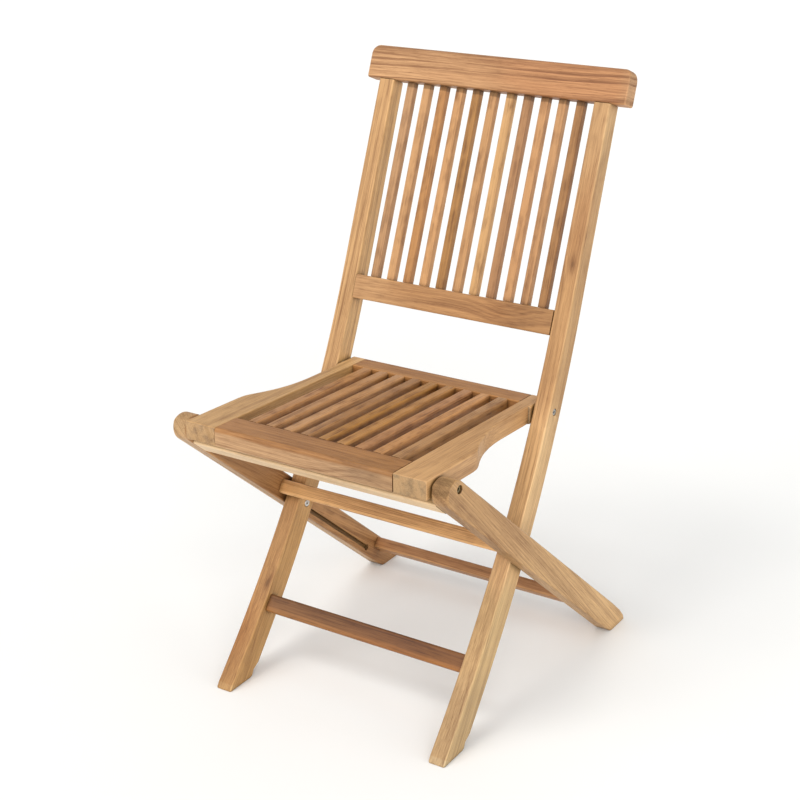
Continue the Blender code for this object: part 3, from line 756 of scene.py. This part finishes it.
def teak_group():
    """Solid teak: a colour, a height and a roughness for each point.

    Place holds metres along the grain, across and through the board.
    """
    tree = bpy.data.node_groups.new("solid_teak", "ShaderNodeTree")
    for kind, way, names in WOOD_SOCKETS:
        for name in names:
            tree.interface.new_socket(name=name, in_out=way,
                                      socket_type="NodeSocket" + kind)
    g = Graph(tree)
    given = tree.nodes.new("NodeGroupInput").outputs
    place, streak = given["Place"], given["Streak"]
    seeded = g.vector("ADD", place, given["Seed"])
    part, pith, tilt = [g.parts(v)
                        for v in (place, given["Pith"], given["Tilt"])]

    # growth rings: distance from the pith line, bent by slow noise and knots
    close, bulge = {}, 0.0
    for spot, lift in (("Knot", 0.9), ("Swirl", 0.55)):
        size = given[spot + " size"]
        away = g.vector("SUBTRACT", place, given[spot])
        away = g.vector("LENGTH", g.vector("MULTIPLY", away, (0.42, 1.0, 1.0)))
        away = g.math("DIVIDE", away, size)
        close[spot] = g.math("EXPONENT", g.times(g.times(away, away), -1.0))
        bulge = g.plus(bulge, g.times(close[spot], g.times(size, lift)))
    bends = []
    for axis, slow, quick in ((1, (2.3, 10.0, 10.0), (15.0, 45.0, 70.0)),
                              (2, (2.0, 12.0, 9.0), (13.0, 60.0, 50.0))):
        bend = g.minus(part[axis], pith[axis])
        bend = g.minus(bend, g.times(tilt[axis], part[0]))
        bend = g.plus(bend, g.times(g.swing(g.noise(seeded, slow, 1.0), 1.0),
                                    given["Figure"]))
        bends.append(g.plus(bend, g.swing(g.noise(seeded, quick, 2.0),
                                          0.0011)))
    radius = g.math("SQRT", g.plus(g.times(bends[0], bends[0]),
                                   g.times(bends[1], bends[1])))
    phase = g.times(g.plus(radius, bulge), given["Rings"])

    # broad and narrow bands, late-wood lines, fibres, pores and slow clouds
    broad = g.line_noise(g.times(phase, 0.29), 1.0)
    bands = g.line_noise(g.times(phase, 1.3), 3.0, 0.62)
    saw = g.math("FRACT", g.plus(phase, g.swing(bands, 0.5)))
    late = g.times(g.step(saw, 0.50, 0.93), g.step(saw, 0.94, 1.0, 1.0, 0.0))
    late = g.times(late, g.step(g.line_noise(g.times(phase, 0.61), 0.0),
                                0.36, 0.66))
    fibres = g.noise(seeded, (15.0, 600.0, 600.0), 4.0, 0.74)
    pores = g.step(g.noise(seeded, (70.0, 1900.0, 1900.0), 1.0), 0.60, 0.74)
    dashes = g.step(g.noise(seeded, (62.0, 640.0, 640.0), 1.0), 0.60, 0.72)
    cloud = g.noise(seeded, (4.2, 26.0, 26.0), 3.0, 0.55)

    # the bands come and go along the board
    fade = g.noise(g.vector("ADD", seeded, (0.4, 2.9, 1.3)),
                   (5.0, 34.0, 34.0), 2.0)
    fade = g.times(streak, g.step(fade, 0.30, 0.72, 0.25, 1.35))
    tone = g.math("MULTIPLY_ADD", g.minus(bands, 0.5), fade, 0.42)
    for more in (g.times(g.minus(broad, 0.5), g.times(streak, 0.9)),
                 g.times(late, g.times(fade, given["Line"])),
                 g.swing(fibres, 2.0), g.times(dashes, 0.20),
                 g.swing(cloud, 0.70), g.times(close["Knot"], 0.55)):
        tone = g.plus(tone, more)
    tone = g.plus(tone, g.times(pores, 0.16), clamp=True)
    colour = g.mix(tone, given["Light"], given["Dark"])

    # thin mineral streaks along the grain, and the heart of a knot
    vein = g.noise(g.vector("ADD", seeded, (3.1, 0.7, 0.2)),
                   (2.6, 95.0, 95.0), 2.0, 0.6)
    vein = g.times(g.step(vein, 0.60, 0.74), given["Mineral"])
    heart = g.step(close["Knot"], 0.86, 0.97, 0.0, 0.85)
    colour = g.mix(g.math("MAXIMUM", vein, heart), colour, given["Stain"])

    # a swirl of the figure and a sawn end each have a tint of their own
    for amount, name in ((close["Swirl"], "Swirl tint"),
                         (given["End"], "End tint")):
        colour = g.mix(amount, colour, g.tinted(colour, given[name]))

    # a painted highlight makes the rounded arrises paler; there the wood is
    # also a little smoother, as if worn
    edge = g.source("NewGeometry")["Pointiness"]
    wear_and_highlight = g.times(g.step(edge, 0.51, 0.55),
                   g.step(g.noise(seeded, (35.0, 90.0, 90.0), 2.0),
                          0.30, 0.60))
    colour = g.mix(g.times(wear_and_highlight, 0.55), colour,
                   g.tinted(given["Light"], (1.12, 1.12, 1.10, 1.0)))

    # painted shade: ambient occlusion darkens the colour where boards stand
    # close together, in gaps, corners and under the crest rail
    painted_shade = g.add("ShaderNodeAmbientOcclusion", {"Distance": 0.016},
                   samples=8).outputs["AO"]
    colour = g.mix(g.step(painted_shade, 0.34, 0.80, 1.0, 0.0), colour,
                   g.tinted(colour, (0.46, 0.42, 0.31, 1.0)))

    height = g.plus(g.swing(fibres, 0.55), g.times(pores, -0.45))
    height = g.plus(height, g.times(late, 0.22))
    rough = g.plus(g.swing(fibres, 0.20), 0.50)
    rough = g.plus(rough, g.swing(cloud, 0.16))
    rough = g.plus(rough, g.times(given["End"], 0.20))
    rough = g.math("SUBTRACT", rough, g.times(wear_and_highlight, 0.07), clamp=True)
    out = tree.nodes.new("NodeGroupOutput").inputs
    for name, value in (("Colour", colour), ("Height", height),
                        ("Roughness", rough)):
        tree.links.new(value, out[name])
    return tree


def linear(rgb):
    """8-bit screen colour to linear light."""
    row = []
    for c in rgb:
        c /= 255.0
        row.append(c / 12.92 if c <= 0.04045 else ((c + 0.055) / 1.055) ** 2.4)
    return row


def scaled(colour, by):
    return (*[min(0.95, c * b) for c, b in zip(colour, by)], 1.0)


GRAIN = {}                   # node -> (origin, along the grain, across)
UNIT_X = Vector((1.0, 0.0, 0.0))


def straight_grain():
    """Where each board's grain runs, from the frame it was built in."""
    def way(place, a, b):
        return (place(0, a, b) - place(0, 0, 0)).normalized()

    lean, run = way(back_point, 0, 1), way(seat_point, 1, 0)
    fall, over = way(leg_point, 1, 0), way(leg_point, 0, 1)
    ways = ((("stile", "back_slat"), lean, UNIT_X),
            (("crest", "lower_back"), UNIT_X, lean),
            ("front_leg", UNIT_X, way(stretcher_place, 0, 1)),
            (("seat_side", "seat_slat"), run, UNIT_X),
            (("seat_front", "seat_rear"), UNIT_X, run),
            ("rear_leg", fall, over),
            (("front_cross", "lower_stretcher"), UNIT_X, fall),
            ("upper", UNIT_X, way(upper_place, 0, 1)))
    for node in PIECES:
        for starts, along, across in ways:
            if node.startswith(starts):
                low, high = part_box(node)
                GRAIN[node] = ((low + high) / 2.0, along, across)


def new_material(name):
    mat = bpy.data.materials.new(name)
    mat.use_nodes = True
    return mat, Graph(mat.node_tree), mat.node_tree.nodes["Principled BSDF"]


def finish(node, mat, colour, rough, bump):
    """Link a material's shader and put it on the piece of a node."""
    shader, links = mat.node_tree.nodes["Principled BSDF"], mat.node_tree.links
    links.new(colour, shader.inputs["Base Color"])
    links.new(rough, shader.inputs["Roughness"])
    links.new(bump.outputs[0], shader.inputs["Normal"])
    PIECES[node].data.materials.clear()
    PIECES[node].data.materials.append(mat)


def build_wood(node, group, look):
    """A material of solid teak for one board."""
    origin, along, across = GRAIN[node]
    through = along.cross(across)
    if look.get("turn"):
        spin = Matrix.Rotation(math.radians(look["turn"]), 3, through)
        along, across = spin @ along, spin @ across
    turn = Matrix((along, across, through)).transposed()
    mat, g, shader = new_material(node + "_teak")
    coords = g.source("TexCoord")
    place = coords["Object"]
    if look.get("bend"):
        below = g.math("MAXIMUM", g.minus(Z_STRAIGHT, g.parts(place)[2]), 0.0)
        shift = g.times(g.times(below, below), look["bend"])
        place = g.vector("ADD", place, g.add(
            "ShaderNodeCombineXYZ", {1: shift}).outputs[0])
    place = g.add("ShaderNodeMapping",
                  {"Vector": place, "Location": origin,
                   "Rotation": turn.to_euler()},
                  vector_type="TEXTURE").outputs[0]
    facing = g.math("ABSOLUTE", g.vector("DOT_PRODUCT", coords["Normal"],
                                         tuple(along)))
    tint, depth = linear(look["colour"]), look["contrast"]
    inputs = {
        "Place": place, "End": g.step(facing, 0.60, 0.86),
        "Swirl tint": (*look["swirl_tint"], 1.0),
        "End tint": (*look["end_tint"], 1.0),
        "Light": scaled(tint, [1.0 + depth * k for k in (0.62, 0.70, 0.80)]),
        "Dark": scaled(tint, [1.0 - depth * k for k in (0.90, 1.08, 1.22)]),
        "Stain": scaled(tint, (0.42, 0.34, 0.28))}
    for key in ("Seed", "Pith", "Tilt", "Rings", "Figure", "Streak", "Line",
                "Mineral", "Knot", "Knot size", "Swirl", "Swirl size"):
        inputs[key] = look[key.lower().replace(" ", "_")]
    wood = g.add("ShaderNodeGroup", inputs, node_tree=group)

    # strips and stretches with a tint, each with a wavy border; some are
    # painted light or shade, as noted at each board
    colour = wood.outputs["Colour"]
    if look["shade"]:
        part = g.parts(place)
        wave = g.swing(g.noise(g.vector("ADD", place, look["seed"]),
                               (9.0, 45.0, 45.0), 2.0), 1.6)
    for axis, low, high, strip in look["shade"]:
        at = g.plus(part[axis], g.times(wave, abs(high - low)))
        amount = g.step(at, min(low, high), max(low, high),
                        float(low > high), float(low < high))
        colour = g.mix(amount, colour, g.tinted(colour, (*strip, 1.0)))
    bump = g.add("ShaderNodeBump", {"Height": wood.outputs["Height"],
                                    "Strength": 0.35, "Distance": 0.0005})
    finish(node, mat, colour, wood.outputs["Roughness"], bump)
    shader.inputs["IOR"].default_value = 1.44


# mean colour of each board, as it looks in soft white light
COLOURS = {
    "stile_left": (176, 134, 88), "stile_right": (176, 136, 92),
    "crest_rail": (172, 126, 84), "lower_back_rail": (170, 124, 78),
    "seat_side_left": (180, 140, 92), "seat_side_right": (184, 142, 96),
    "seat_front_rail": (168, 130, 92), "seat_rear_rail": (156, 108, 60),
    "rear_leg_left": (178, 140, 96), "rear_leg_right": (176, 138, 92),
    "front_leg_stretcher": (112, 72, 36), "front_cross_rail": (214, 182, 140),
    "lower_stretcher": (150, 104, 64), "upper_stretcher": (192, 144, 92),
}
BACK_COLOURS = (
    (160, 120, 82), (172, 128, 84), (160, 112, 64), (176, 130, 84),
    (148, 104, 54), (168, 124, 80), (178, 136, 88), (148, 106, 68),
    (170, 124, 80), (164, 120, 78), (140, 98, 56))
SEAT_COLOURS = (
    (162, 116, 72), (160, 116, 74), (164, 120, 78), (146, 104, 64),
    (150, 104, 50), (156, 110, 60), (158, 112, 72), (170, 122, 76),
    (156, 116, 76))
for start, row in (("back_slat", BACK_COLOURS), ("seat_slat", SEAT_COLOURS)):
    for index, tint in enumerate(row, 1):
        COLOURS["%s_%02d" % (start, index)] = tint

SLAT_REACH = -(BACK_RAIL_LOW + BACK_RAIL_HIGH) / 2.0
# painted shade down the sides of the seat slats, in the gaps between them
SLAT_SIDE_SHADE = (2, -0.008, -0.001)         # from a seat slat's top downwards
FAR = (9.0, 9.0, 9.0)        # a knot that far off leaves no trace
PALE_EDGE, PALE_TOE = (1.45, 1.50, 1.45), (1.10, 1.20, 1.38)


def in_board(node, point):
    """A place on a board, along its grain, across it and through it."""
    origin, along, across = GRAIN[node]
    away = Vector(point) - origin
    if "bend" in SPECIAL[node]:
        below = max(Z_STRAIGHT - point[2], 0.0)
        away.y += SPECIAL[node]["bend"] * below * below
    return away.dot(along), away.dot(across), away.dot(along.cross(across))


# What sets single boards apart, in metres along the grain, across it and
# through it. A shade row tints the wood beyond a place on one axis (0, 1 or
# 2), from low to high; low above high tints the other side. by_height does
# the same along a bent stile, for heights above the ground.
SPECIAL = {
    "stile_left": dict(bend=0.33, pith=(0.0, 0.055, 0.03), rings=170.0,
        streak=1.0, line=0.2, figure=0.012, knot_at=(-0.1885, -0.1523, 0.1315),
        knot_size=0.0085, by_height=((0.8, 0.56, (1.1, 1.13, 1.16)),
        (0.42, 0.32, (0.84, 0.77, 0.65)), (0.13, 0.07, (0.9, 0.9, 0.85))),
        swirl_at=(-0.203, -0.208, 0.066), swirl_size=0.024,
        swirl_tint=(0.8, 0.66, 0.52),
        # painted light on the inner side face, brightest as a painted
        # highlight along its arris
        shade=((1, 0.0114, 0.0128, (1.16, 1.22, 1.23)),
        (1, 0.0131, 0.0138, (0.96, 0.98, 1.0)))),
    "stile_right": dict(bend=0.33, pith=(0.0, -0.07, 0.035), rings=150.0,
        streak=0.8, line=0.2, figure=0.01, knot_at=(0.1969, 0.1345, 0.6238),
        knot_size=0.006, by_height=((0.72, 0.6, (0.92, 0.86, 0.78)),
        # below 0.40 m the stile is lightened: painted light against the seat's
        # shadow, together with the board's own tone
        (0.45, 0.4, (1.28, 1.42, 1.62)), (0.23, 0.18, (0.86, 0.89, 0.86)),
        (0.12, 0.07, (0.84, 0.84, 0.86))), swirl_at=(0.199, 0.16, 0.69),
        swirl_size=0.03, swirl_tint=(0.97, 0.88, 0.8),
        # a painted highlight along the arris of the outer side; the side face
        # itself ends only a little paler
        shade=((1, 0.0112, 0.0126, (1.13, 1.2, 1.25)),
        (1, 0.0131, 0.0138, (0.9, 0.9, 0.88)))),
    "crest_rail": dict(pith=(0.0, 0.075, 0.006), rings=105.0, streak=1.2,
        line=0.75, figure=0.016, tilt=(0.0, 0.02, 0.0),
        end_tint=(0.98, 1.1, 1.25),
        shade=((0, 0.05, -0.19, (1.15, 1.22, 1.28)),
        (0, -0.02, 0.12, (1.0, 0.91, 0.86)),
        (0, 0.212, 0.232, (1.02, 1.12, 1.22)))),
    "lower_back_rail": dict(pith=(0.0, -0.03, 0.034), rings=150.0,
        tilt=(0.0, 0.05, 0.02), streak=1.1, line=0.35, figure=0.016,
        shade=((0, -0.04, -0.14, (1.06, 1.14, 1.28)),
        (0, 0.06, 0.13, (0.8, 0.79, 0.77))), swirl_at=(0.1, 0.099, 0.542),
        swirl_size=0.021, swirl_tint=(0.82, 0.74, 0.64)),
    "seat_side_left": dict(pith=(0.0, -0.12, 0.05), rings=180.0, streak=0.8,
        line=0.18, figure=0.006, end_tint=(0.72, 0.78, 0.98),
        # painted shade on the inner edge face, under the seat
        shade=((1, 0.026, 0.0272, (0.74, 0.7, 0.6)),
        (0, 0.07, 0.15, (1.18, 1.24, 1.32)))),
    "seat_side_right": dict(pith=(0.0, -0.14, 0.03), rings=160.0, streak=0.6,
        line=0.12, figure=0.005, contrast=0.44, end_tint=(0.6, 0.69, 0.8)),
    "seat_front_rail": dict(pith=(0.0, -0.05, 0.036), rings=200.0, streak=1.0,
        line=0.22, figure=0.012, shade=((2, 0.005, 0.01, (0.81, 0.64, 0.42)),
        (0, 0.09, 0.125, (0.9, 0.89, 0.86))), swirl_at=(0.104, -0.2755, 0.436),
        swirl_size=0.024, swirl_tint=(0.74, 0.75, 0.78)),
    "rear_leg_right": dict(turn=-5.0, pith=(0.0, 0.045, 0.05), rings=240.0,
        streak=0.95, line=0.25, figure=0.008, end_tint=(0.62, 0.62, 0.6),
        shade=((0, -0.02, -0.13, (0.86, 0.81, 0.76)),
        (0, 0.04, 0.2, (1.1, 1.13, 1.17)))),
    "rear_leg_left": dict(turn=4.0, streak=1.2, line=0.2,
        end_tint=(0.92, 0.97, 1.03),
        # painted shade on the inner side face, under the seat
        shade=((2, 0.008, 0.0125, (0.74, 0.61, 0.48)),)),
    "front_leg_stretcher": dict(streak=1.4, line=0.5,
        shade=((0, -0.06, 0.06, (0.88, 0.78, 0.64)),
        (0, 0.1, 0.13, (1.18, 1.22, 1.15)), (1, -0.0045, -0.008, PALE_EDGE))),
    "lower_stretcher": dict(streak=1.5, line=0.45,
        shade=((2, -0.0035, -0.008, (1.3, 1.42, 1.5)),)),
    "upper_stretcher": dict(streak=1.5, line=0.3,
        shade=((1, -0.005, -0.009, (1.12, 1.16, 1.2)),)),
    "front_cross_rail": dict(streak=0.7, line=0.12, contrast=0.3, mineral=0.0),
    # painted shade on these two slats' sides, lighter than on the other seat
    # slats
    "seat_slat_04": dict(shade=((*SLAT_SIDE_SHADE, (0.72, 0.66, 0.56)),)),
    "seat_slat_09": dict(shade=((*SLAT_SIDE_SHADE, (0.74, 0.71, 0.6)),)),
}


def build_materials():
    group = teak_group()
    draw = random.Random(20)
    for node in sorted(GRAIN):
        angle = math.radians(draw.randrange(4) * 90.0 + draw.uniform(22, 68))
        reach = draw.uniform(0.035, 0.110)
        look = {
            "colour": COLOURS[node], "contrast": 0.52,
            "seed": tuple(draw.uniform(-2.0, 2.0) for _ in range(3)),
            "pith": (0.0, reach * math.cos(angle), reach * math.sin(angle)),
            "tilt": (0.0, *[draw.uniform(-0.03, 0.03) for _ in range(2)]),
            "rings": draw.uniform(260.0, 420.0), "figure": 0.006,
            "streak": 1.25, "line": 0.28, "mineral": draw.uniform(0.0, 0.35),
            "knot": FAR, "knot_size": 0.01, "swirl": FAR, "swirl_size": 0.01,
            "swirl_tint": (1.0, 1.0, 1.0), "shade": (),
            "end_tint": (0.80, 0.79, 0.83),
        }
        # seat slats: painted shade down their sides, in the gaps
        if node.startswith("seat_slat"):
            look["shade"] = ((*SLAT_SIDE_SHADE, (0.60, 0.54, 0.45)),)
            look.update(streak=1.5, line=0.55)
        # back slats: a painted shadow of the crest rail across their tops
        if node.startswith("back_slat"):
            look["shade"] = ((0, SLAT_REACH - 0.0085, SLAT_REACH - 0.0065,
                              (0.56, 0.53, 0.42)),)
        look.update(SPECIAL.get(node, {}))
        if "by_height" in look:
            rows = [(*row, tint) for *row, tint in look["by_height"]]
            rows.append((TOE_HIGH + 0.001, TOE_HIGH - 0.001, PALE_TOE))
            look["shade"] += tuple(
                (0, *[in_board(node, (0.0, stile_y(z), z))[0] for z in row],
                 tint) for *row, tint in rows)
        for spot in ("knot", "swirl"):
            if spot + "_at" in look:
                look[spot] = in_board(node, look[spot + "_at"])
        build_wood(node, group, look)
    for node in sorted(PIECES):
        if node not in GRAIN:
            build_metal(node)


METALS = {"front_pivot_screw": ((0.27, 0.21, 0.12), 0.42),
          "rear_pivot_screw": ((0.46, 0.44, 0.41), 0.36),
          "groove_pin": ((0.70, 0.69, 0.66), 0.26),
          "washer": ((0.46, 0.38, 0.24), 0.40)}


def build_metal(node):
    """Turned metal: faint lathe rings, dull blotches, worn rims."""
    colour, rough = next(v for k, v in METALS.items() if k in node)
    mat, g, shader = new_material(node + "_metal")
    place = g.source("TexCoord")["Object"]
    blotch = g.noise(place, (420.0, 420.0, 420.0), 3.0, 0.6)
    marks = g.noise(place, (2600.0, 900.0, 900.0), 2.0)
    rim = g.step(g.source("NewGeometry")["Pointiness"], 0.52, 0.60)
    light, dark, wear_and_highlight = [(*[min(0.9, c * k) for c in colour], 1.0)
                         for k in (1.12, 0.66, 1.5)]
    base = g.mix(g.plus(g.swing(blotch, 1.1), 0.5, clamp=True), light, dark)
    base = g.mix(g.times(rim, 0.4), base, wear_and_highlight)
    mean = g.plus(g.swing(blotch, 0.30), rough)
    mean = g.plus(mean, g.swing(marks, 0.18), clamp=True)
    bump = g.add("ShaderNodeBump", {"Height": marks, "Strength": 0.25,
                                    "Distance": 0.0001})
    finish(node, mat, base, mean, bump)
    shader.inputs["Metallic"].default_value = 1.0


# ---- surroundings
CAMERA_AT, CAMERA_LENS = (1.3302, -1.8443, 1.3792), 73.5
CAMERA_TURN = (31.07, 19.83, -1.106)     # azimuth, elevation and roll
CAMERA_SHIFT = (-0.1737, -0.1152)


def build_camera():
    """Standing eye height, in front of the chair and to one side."""
    az, el, roll = (math.radians(d) for d in CAMERA_TURN)
    back = Vector((math.cos(el) * math.sin(az), -math.cos(el) * math.cos(az),
                   math.sin(el)))
    right = Vector((math.cos(az), math.sin(az), 0.0))
    up = back.cross(right)
    x_axis = math.cos(roll) * right + math.sin(roll) * up
    y_axis = math.cos(roll) * up - math.sin(roll) * right
    data = bpy.data.cameras.new("camera")
    data.sensor_width, data.lens = 36.0, CAMERA_LENS
    data.shift_x, data.shift_y = CAMERA_SHIFT
    camera = linked("camera", data)
    turn = Matrix((x_axis, y_axis, back)).transposed().to_4x4()
    camera.matrix_world = Matrix.Translation(CAMERA_AT) @ turn
    bpy.context.scene.camera = camera


def soft_sun(name, azimuth, elevation, spread, strength, colour):
    """Soft light from far away; azimuth 0 comes from the front, 90 from +X."""
    az, el = math.radians(azimuth), math.radians(elevation)
    data = bpy.data.lights.new(name, "SUN")
    data.energy, data.color = strength, colour
    data.angle = math.radians(spread)
    light = linked(name, data)
    way = Vector((math.sin(az) * math.cos(el), -math.cos(az) * math.cos(el),
                  math.sin(el)))
    light.rotation_euler = way.to_track_quat("Z", "Y").to_euler()
    light.location = way * 3.0


SKY_LIGHT = 0.64
SUNS = (                     # azimuth, elevation, spread, strength, colour
    ("key", -32.0, 42.0, 42.0, 0.85, (1.0, 0.965, 0.915)),
    ("front", 42.0, 24.0, 44.0, 1.35, (1.0, 0.98, 0.95)),
    ("top", -20.0, 66.0, 16.0, 0.45, (1.0, 0.975, 0.94)),
    ("fill", 98.0, 14.0, 36.0, 0.60, (0.93, 1.0, 1.0)))
FLOOR_Z, FLOOR_SIDES = -0.0004, 64


def build_studio():
    world = bpy.data.worlds.new("studio")
    bpy.context.scene.world = world
    world.use_nodes = True
    sky = world.node_tree.nodes["Background"]
    sky.inputs["Color"].default_value = (0.985, 1.0, 1.0, 1.0)
    # the sky itself looks as white as the floor, above the horizon
    g = Graph(world.node_tree)
    seen = g.source("LightPath")["Is Camera Ray"]
    g.tree.links.new(g.plus(g.times(seen, 1.0 - SKY_LIGHT), SKY_LIGHT),
                     sky.inputs["Strength"])
    for sun in SUNS:
        soft_sun(*sun)
    bm = bmesh.new()
    angles = [2.0 * math.pi * k / FLOOR_SIDES for k in range(FLOOR_SIDES)]
    rings = [[bm.verts.new((r * math.cos(t), r * math.sin(t), FLOOR_Z))
              for t in angles] for r in (1.0, 6.0, 60.0)]
    hub = bm.verts.new((0.0, 0.0, FLOOR_Z))
    for k in range(FLOOR_SIDES):
        j = (k + 1) % FLOOR_SIDES
        bm.faces.new((hub, rings[0][k], rings[0][j]))
        for low, high in zip(rings, rings[1:]):
            bm.faces.new((low[k], high[k], high[j], low[j]))
    floor = new_object("floor", bm)
    mat, g, shader = new_material("floor_white")
    place = g.source("TexCoord")["Object"]
    tone = g.noise(place, (3.0, 3.0, 3.0), 2.0)
    g.tree.links.new(
        g.mix(tone, (0.90, 0.90, 0.895, 1.0), (0.93, 0.93, 0.93, 1.0)),
        shader.inputs["Base Color"])
    shader.inputs["Roughness"].default_value = 0.9
    shader.inputs["Specular IOR Level"].default_value = 0.1
    floor.data.materials.append(mat)
    bpy.context.scene.view_settings.view_transform = "Standard"


# ---- main
for hand, side_name in SIDES:
    build_stile(hand, side_name)
    build_seat_side(hand, side_name)
    build_leg(hand, side_name)
build_crest()
build_back_rail()
build_back_slats()
build_front_stretcher()
build_seat_rails()
build_seat_slats()
build_leg_cross_pieces()
build_hardware()
straight_grain()
build_materials()
build_camera()
build_studio()
